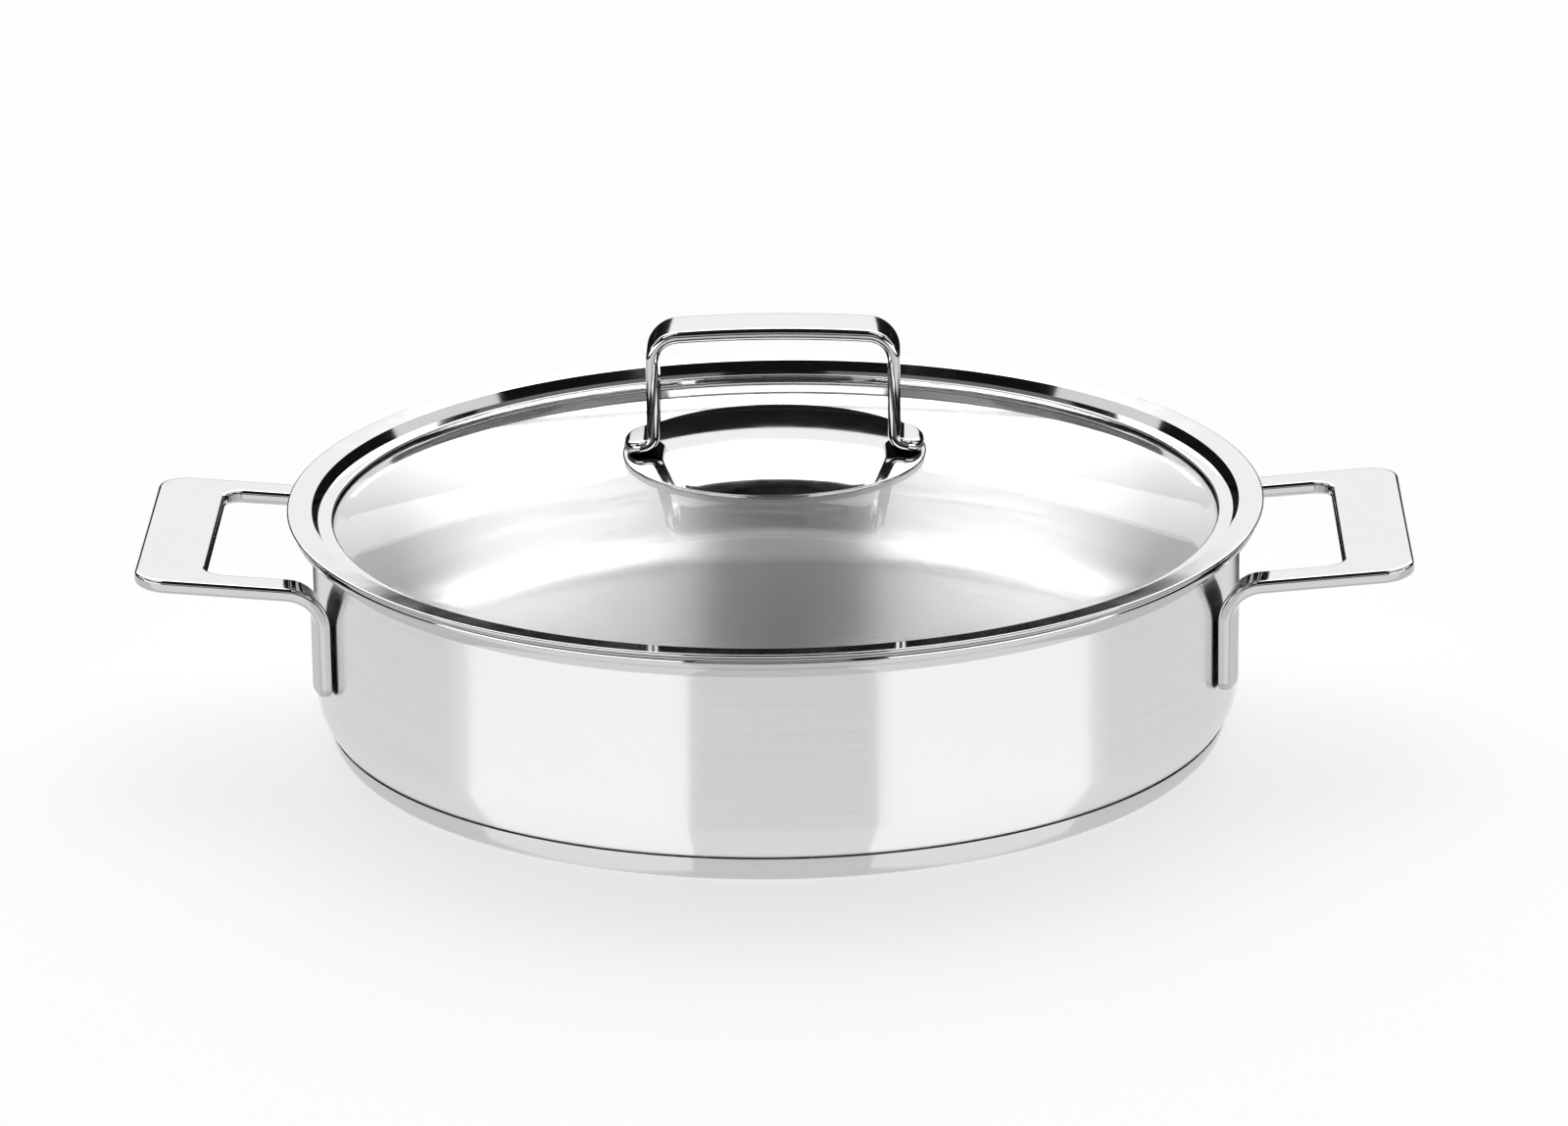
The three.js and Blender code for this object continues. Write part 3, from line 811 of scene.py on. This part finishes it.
class MakeStrap(bpy.types.Operator):
    """Lid handle: a flat strap bent into an arch, its feet turned outwards on the rosette"""

    bl_idname = "shallow_pot.strap"
    bl_label = "Lid handle"

    def execute(self, context):
        settings = context.scene.shallow_pot
        lid = settings.lid
        foot_x = lid.strap_span / 2 + lid.foot
        bm = bmesh.new()
        strap_outline(bm, settings, foot_x)
        bmesh.ops.contextual_create(bm, geom=bm.edges[:])
        sides = bmesh.ops.extrude_face_region(bm, geom=bm.faces[:], use_keep_orig=True)["geom"]
        moved = [v for v in sides if isinstance(v, bmesh.types.BMVert)]
        bmesh.ops.translate(bm, verts=bm.verts[:], vec=(0, -lid.strap_width / 2, 0))
        bmesh.ops.translate(bm, verts=moved, vec=(0, lid.strap_width, 0))
        middle = [f for f in bm.faces if f.calc_center_median().x < MERGE and abs(f.normal.x) > 0.99]
        bmesh.ops.delete(bm, geom=middle, context="FACES")
        bmesh.ops.mirror(bm, geom=bm.verts[:] + bm.edges[:] + bm.faces[:], axis="X", merge_dist=MERGE)
        bmesh.ops.remove_doubles(bm, verts=bm.verts[:], dist=MERGE)
        bmesh.ops.recalc_face_normals(bm, faces=bm.faces[:])
        round_feet(bm, lid, foot_x)
        round_long_edges(bm, lid.strap_edge)
        material = polished_stainless(settings.finish)
        make_piece(bm, "lid_handle_smooth", [material], "lid", "polished_steel", "lid_handle")
        return {"FINISHED"}


class FinishFixings(bpy.types.Operator):
    """Materials of the boss, gaskets, washer and screw that hold the rosette to the glass"""

    bl_idname = "shallow_pot.fixings"
    bl_label = "Fixings"

    def execute(self, context):
        finish = context.scene.shallow_pot.finish
        silicone = mottled("moulded_silicone", finish.silicone, 0.6, 0.0, 0.0015)
        steel = mottled("turned_stainless_steel", finish.base, 0.3, 1.0, 0.001)
        for material, names in (
            (silicone, ("upper_gasket", "hole_grommet", "lower_gasket")),
            (steel, ("handle_boss", "steel_washer", "lid_screw")),
        ):
            for name in names:
                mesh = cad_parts[name].data
                mesh.materials.clear()
                mesh.materials.append(material)
        return {"FINISHED"}


# Stage
#
# Polished steel shows only what stands round it. A dark tent gives its black lines and cards give its
# bright ones. Azimuths of cards are degrees from the back, towards the right, and elevations are degrees
# above the lid.

BLACK = 0.008  # brightness of black cloth
TENT_GLOW = 1.2  # brightness of the tent in the glass alone, which keeps the glass pale
HAZE = 2.9  # brightness in the glass alone of low cards and of the floor behind
TENT_RADIUS = 4.0
TENT_HEIGHT = 8.0
FLOOR_END = 3.9  # where the dark floor ends, inside the tent
CARD_CENTRE = 0.09  # height from which elevations are measured, about the lid's
BOARD_LIFT = 0.0004  # boards lie this high over the table
FLOOR_LIFT = 0.0002  # the dark floor lies this high over the table, under the boards
BOARD_START = -0.004  # boards reach a little under the pot
BOARD_END = 1.0  # length of the boards
TABLE_SHARE = 0.3  # share of the table's light that comes from above

# Name, distance, two azimuths, two elevations, brightness in the steel, in the glass and mirrored twice.
OUTER_CARDS = (
    ("horizon_card", 3.0, -80, 80, 0, 14.5, BLACK, HAZE, BLACK),
    ("back_card_22", 3.0, -40, 40, 22, 28, 3.2, 2.2, 3.2),
    ("back_card_28", 3.0, -40, 40, 28, 34, 3.2, 1.9, 3.2),
    ("back_card_34", 3.0, -40, 40, 34, 40, 3.2, 1.6, 3.2),
    ("back_card_40", 3.0, -40, 40, 40, 52, 3.2, 1.35, 3.2),
    ("left_wing_low", 3.0, -80, -40, 14.5, 28, BLACK, 2.5, BLACK),
    ("left_wing_high", 3.0, -80, -40, 28, 52, BLACK, 1.6, BLACK),
    ("right_wing_low", 3.0, 40, 80, 14.5, 28, BLACK, 2.5, BLACK),
    ("right_wing_high", 3.0, 40, 80, 28, 52, BLACK, 1.6, BLACK),
    ("front_card_top", 1.0, 140, 220, 35, 74, BLACK, BLACK, 2.5),
    ("left_side_card", 2.8, -96, -62, 15, 45, 1.0, 1.4, BLACK),
    ("right_side_card", 2.8, 62, 96, 15, 45, 1.0, 1.4, BLACK),
    ("front_card_low", 2.8, 162, 198, 12, 30, 0.5, 1.4, BLACK),
)

# The same for cards that also light the inside of the pot, through the glass.
OPEN_CARDS = (
    ("back_card_low", 3.0, -40, 40, 14.5, 22, 1.25, HAZE, 1.25),
    ("left_card", 3.0, -160, -98, 0, 20, 2.0, HAZE, 2.0),
    ("right_card", 3.0, 96, 154, 0, 20, 2.0, HAZE, 2.0),
)

# The same for cards that light the inside of the pot alone.
INSIDE_CARDS = (
    ("left_fill", 2.9, -153.0, -72, 5, 50, 8.5, HAZE, 8.5),
    ("right_fill", 2.9, 70, 158.0, 5, 50, 8.5, HAZE, 8.5),
)

# Name, radius and two azimuths of the dark floor, brightness in the steel, in the glass and mirrored twice.
DARK_FLOORS = (
    ("dark_floor_behind", 0.2, -100, 100, BLACK, HAZE, BLACK),
    ("dark_floor_ahead", 0.45, 100, 260, BLACK, TENT_GLOW, BLACK),
)

# Name, two azimuths on the wall in degrees from the front, towards the right, and brightness.
BOARDS = (
    ("left_grey_board", -80, -40, 0.76),
    ("left_white_board", -40, -10.1, 1.0),
    ("front_grey_board", -10.1, 12.8, 0.78),
    ("right_white_board", 12.8, 41.8, 1.0),
    ("right_grey_board", 41.8, 80, 0.76),
)

# Two panels under the top of the tent, by the place of their middles along X.
PANELS = (("ceiling_left", -1.8), ("ceiling_right", 1.8))
PANEL_HEIGHT = 3.9
PANEL_HALF = 1.3  # half the width of a panel
PANEL_STRETCH = 2.3  # depth of a panel over its width

SKY_TILT = 40  # degrees by which the light from above leans to the back, so that shadows fall to the front
SKY_POWER = 4.0  # how narrow that light is
SKY_STRENGTH = 3.9
SKY_INSIDE = 0.12  # what the inside of the pot sees of the world through the glass
SENSOR = 36.0  # width of the camera's sensor in mm


def soft_light(name, in_steel, in_glass, mirrored_twice):
    """A plain glowing surface of the studio, with its own brightness in the steel and in the glass.

    A second reflection sees a third brightness, and later ones see nothing of it.
    """
    material, tree = new_material(name)
    path = add_node(tree, "ShaderNodeLightPath")
    first = add_node(tree, "ShaderNodeMath", {0: path.outputs["Ray Depth"], 1: 1.5}, operation="LESS_THAN")
    second = add_node(
        tree, "ShaderNodeMath", {0: path.outputs["Glossy Depth"], 1: 2.5}, operation="LESS_THAN"
    )
    later = add_node(
        tree, "ShaderNodeMath", {0: second.outputs["Value"], 1: mirrored_twice}, operation="MULTIPLY"
    )
    direct = add_node(
        tree, "ShaderNodeMix", {"Factor": path.outputs["Is Singular Ray"], "A": in_steel, "B": in_glass}
    )
    level = add_node(
        tree,
        "ShaderNodeMix",
        {"Factor": first.outputs["Value"], "A": later.outputs["Value"], "B": direct.outputs["Result"]},
    )
    glow = add_node(tree, "ShaderNodeEmission", {"Strength": level.outputs["Result"]})
    add_node(tree, "ShaderNodeOutputMaterial", {"Surface": glow.outputs["Emission"]})
    return material


def backlit_acrylic(finish):
    """Matt white acrylic table lit from below: little of its light is from above, so shadows are pale."""
    material, tree = new_material("backlit_white_acrylic")
    white = linear(finish.table)
    acrylic = add_node(
        tree,
        "ShaderNodeBsdfPrincipled",
        {
            "Base Color": [TABLE_SHARE * part for part in white[:3]] + [1.0],
            "Roughness": 0.9,
            "Specular IOR Level": 0.0,
            "Emission Color": white,
            "Emission Strength": 1.0 - TABLE_SHARE,
        },
    )
    add_node(tree, "ShaderNodeOutputMaterial", {"Surface": acrylic.outputs["BSDF"]})
    return material


def stage_piece(bm, name, material):
    """Turns a bmesh into a piece of the stage."""
    mesh = bpy.data.meshes.new(name)
    bm.to_mesh(mesh)
    bm.free()
    mesh.materials.append(material)
    obj = bpy.data.objects.new(name, mesh)
    bpy.context.scene.collection.objects.link(obj)
    return obj


def mirrored_piece(bm, name, levels, through_glass=False):
    """Turns a bmesh into a piece of the studio that is seen in reflections alone."""
    obj = stage_piece(bm, name, soft_light(name, *levels))
    obj.visible_camera = False
    obj.visible_diffuse = False
    obj.visible_shadow = False
    obj.visible_transmission = through_glass
    return obj


def swept_arc(bm, radius, height, start, end, steps):
    """Sweeps a point at a radius and height round the axis, from one azimuth to another."""
    place = Matrix.Rotation(-math.radians(start), 3, "Z") @ Vector((0, radius, height))
    bmesh.ops.create_vert(bm, co=place)
    sweep = math.radians(start - end)
    bmesh.ops.spin(bm, geom=bm.verts[:], cent=(0, 0, 0), axis=(0, 0, 1), angle=sweep, steps=steps)


def extruded(bm):
    """Extrudes the drawn edges and gives the new points."""
    made = bmesh.ops.extrude_edge_only(bm, edges=bm.edges[:])["geom"]
    return [v for v in made if isinstance(v, bmesh.types.BMVert)]


def card(name, distance, start, end, low, high, levels, through_glass):
    """A curved upright card round the pot, between two azimuths and two elevations."""
    bottom, top = (CARD_CENTRE + distance * math.tan(math.radians(e)) for e in (low, high))
    bm = bmesh.new()
    swept_arc(bm, distance, bottom, start, end, 24)
    bmesh.ops.translate(bm, verts=extruded(bm), vec=(0, 0, top - bottom))
    return mirrored_piece(bm, name, levels, through_glass)


def dark_floor(name, radius, start, end, levels):
    """Part of the floor outside a radius, between two azimuths."""
    bm = bmesh.new()
    swept_arc(bm, radius, FLOOR_LIFT, start, end, 48)
    bmesh.ops.scale(bm, verts=extruded(bm), vec=(FLOOR_END / radius, FLOOR_END / radius, 1))
    mirrored_piece(bm, name, levels)


def board(name, start, end, radius, level):
    """A board on the table, whose edges run out as the wall at those azimuths reflects them."""
    bm = bmesh.new()
    for azimuth, reach in ((start, BOARD_START), (start, BOARD_END), (end, BOARD_END), (end, BOARD_START)):
        turn = math.radians(azimuth)
        foot = Vector((math.sin(turn), -math.cos(turn), 0)) * radius
        run = Vector((math.sin(2 * turn), -math.cos(2 * turn), 0)) * reach
        bmesh.ops.create_vert(bm, co=foot + run + Vector((0, 0, BOARD_LIFT)))
    bmesh.ops.contextual_create(bm, geom=bm.verts[:])
    mirrored_piece(bm, name, (level, level, level))


def ceiling_panel(name, middle):
    """A flat panel that shows in steel faces that look up."""
    bm = bmesh.new()
    bmesh.ops.create_grid(bm, x_segments=1, y_segments=1, size=PANEL_HALF)
    bmesh.ops.scale(bm, verts=bm.verts[:], vec=(1.0, PANEL_STRETCH, 1.0))
    bmesh.ops.translate(bm, verts=bm.verts[:], vec=(middle, 0, PANEL_HEIGHT))
    mirrored_piece(bm, name, (1.0, TENT_GLOW, 0.3))


def make_studio(radius):
    """Tent, dark floor, cards, panels and boards round a pot of that radius."""
    bm = bmesh.new()
    bmesh.ops.create_cone(
        bm, cap_ends=True, segments=48, radius1=TENT_RADIUS, radius2=TENT_RADIUS, depth=TENT_HEIGHT
    )
    mirrored_piece(bm, "dark_studio", (BLACK, TENT_GLOW, BLACK))
    for name, inner, start, end, *levels in DARK_FLOORS:
        dark_floor(name, inner, start, end, levels)
    for name, distance, start, end, low, high, *levels in OUTER_CARDS:
        card(name, distance, start, end, low, high, levels, False)
    for name, distance, start, end, low, high, *levels in OPEN_CARDS:
        card(name, distance, start, end, low, high, levels, True)
    for name, distance, start, end, low, high, *levels in INSIDE_CARDS:
        fill = card(name, distance, start, end, low, high, levels, True)
        fill.visible_glossy = False
    for name, middle in PANELS:
        ceiling_panel(name, middle)
    for name, start, end, level in BOARDS:
        board(name, start, end, radius, level)


def make_world(scene):
    """Soft light from above and a white backdrop."""
    world = bpy.data.worlds.new("studio")
    scene.world = world
    world.use_nodes = True
    tree = world.node_tree
    sky = add_node(tree, "ShaderNodeTexCoord").outputs["Generated"]
    towards = (0.0, math.sin(math.radians(SKY_TILT)), math.cos(math.radians(SKY_TILT)))
    facing = add_node(tree, "ShaderNodeVectorMath", {0: sky, 1: towards}, operation="DOT_PRODUCT")
    falloff = add_node(tree, "ShaderNodeMath", {0: facing.outputs["Value"], 1: 0.0}, operation="MAXIMUM")
    peak = add_node(tree, "ShaderNodeMath", {0: falloff.outputs["Value"], 1: SKY_POWER}, operation="POWER")
    overhead = add_node(
        tree, "ShaderNodeMath", {0: peak.outputs["Value"], 1: SKY_STRENGTH}, operation="MULTIPLY"
    )
    path = add_node(tree, "ShaderNodeLightPath")
    inside = add_node(
        tree,
        "ShaderNodeMix",
        {"Factor": path.outputs["Is Transmission Ray"], "A": overhead.outputs["Value"], "B": SKY_INSIDE},
    )
    # The eye sees the white backdrop, straight or through the glass alone.
    plain = add_node(
        tree, "ShaderNodeMath", {0: path.outputs["Glossy Depth"], 1: 0.5}, operation="LESS_THAN"
    )
    looking = add_node(
        tree,
        "ShaderNodeMath",
        {0: path.outputs["Is Camera Ray"], 1: path.outputs["Is Transmission Ray"]},
        operation="MAXIMUM",
    )
    seen = add_node(
        tree,
        "ShaderNodeMath",
        {0: plain.outputs["Value"], 1: looking.outputs["Value"]},
        operation="MULTIPLY",
    )
    level = add_node(
        tree, "ShaderNodeMath", {0: inside.outputs["Result"], 1: seen.outputs["Value"]}, operation="MAXIMUM"
    )
    background = tree.nodes["Background"]
    background.inputs["Color"].default_value = (1.0, 1.0, 1.0, 1.0)
    tree.links.new(level.outputs["Value"], background.inputs["Strength"])


def make_camera(scene, stage):
    """The camera that was fitted to the photo."""
    heading = Matrix.Rotation(stage.turn - stage.pan, 3, "Z")
    look = heading @ Matrix.Rotation(math.pi / 2 - stage.tilt, 3, "X")
    turned = look @ Matrix.Rotation(stage.roll, 3, "Z")
    camera = bpy.data.cameras.new("camera")
    camera.sensor_width = SENSOR
    camera.lens = stage.lens
    camera.clip_end = 100.0
    eye = bpy.data.objects.new("camera", camera)
    place = Matrix.Rotation(stage.turn, 3, "Z") @ Vector((0, -stage.distance, stage.height))
    eye.matrix_world = Matrix.Translation(place) @ turned.to_4x4()
    scene.collection.objects.link(eye)
    scene.camera = eye


class MakeStage(bpy.types.Operator):
    """Lit white table, the dark tent and cards that the steel mirrors, soft light and the camera"""

    bl_idname = "shallow_pot.stage"
    bl_label = "Stage"

    def execute(self, context):
        settings = context.scene.shallow_pot
        scene = context.scene
        bm = bmesh.new()
        bmesh.ops.create_circle(bm, cap_ends=True, segments=96, radius=settings.stage.table)
        stage_piece(bm, "table", backlit_acrylic(settings.finish))
        make_studio(settings.pot.radius)
        make_world(scene)
        make_camera(scene, settings.stage)
        scene.view_settings.view_transform = "Standard"
        # Light passes both faces of the glass twice and is thrown about inside the pot.
        scene.cycles.max_bounces = 24
        scene.cycles.glossy_bounces = 12
        scene.cycles.transmission_bounces = 16
        return {"FINISHED"}


# Panel and run


PIECES = (
    MakeBody,
    MakeBase,
    MakeSideHandles,
    MakeRing,
    MakeGlass,
    MakeRosette,
    MakeStrap,
    FinishFixings,
    MakeStage,
)


class PotPanel(bpy.types.Panel):
    """Lists the pot's pieces"""

    bl_idname = "VIEW3D_PT_shallow_pot"
    bl_label = "Shallow pot with lid"
    bl_space_type = "VIEW_3D"
    bl_region_type = "UI"
    bl_category = "Pot"

    def draw(self, context):
        for piece in PIECES:
            self.layout.operator(piece.bl_idname)


CLASSES = (PotSizes, HandleSizes, LidSizes, Finishes, StageSizes, PotSettings, *PIECES, PotPanel)


def register():
    for cls in CLASSES:
        bpy.utils.register_class(cls)
    bpy.types.Scene.shallow_pot = PointerProperty(type=PotSettings)


def unregister():
    del bpy.types.Scene.shallow_pot
    for cls in reversed(CLASSES):
        bpy.utils.unregister_class(cls)


def main():
    register()
    for operator in (
        bpy.ops.shallow_pot.body,
        bpy.ops.shallow_pot.base,
        bpy.ops.shallow_pot.side_handles,
        bpy.ops.shallow_pot.ring,
        bpy.ops.shallow_pot.glass,
        bpy.ops.shallow_pot.rosette,
        bpy.ops.shallow_pot.strap,
        bpy.ops.shallow_pot.fixings,
        bpy.ops.shallow_pot.stage,
    ):
        operator()


if __name__ == "__main__":
    main()
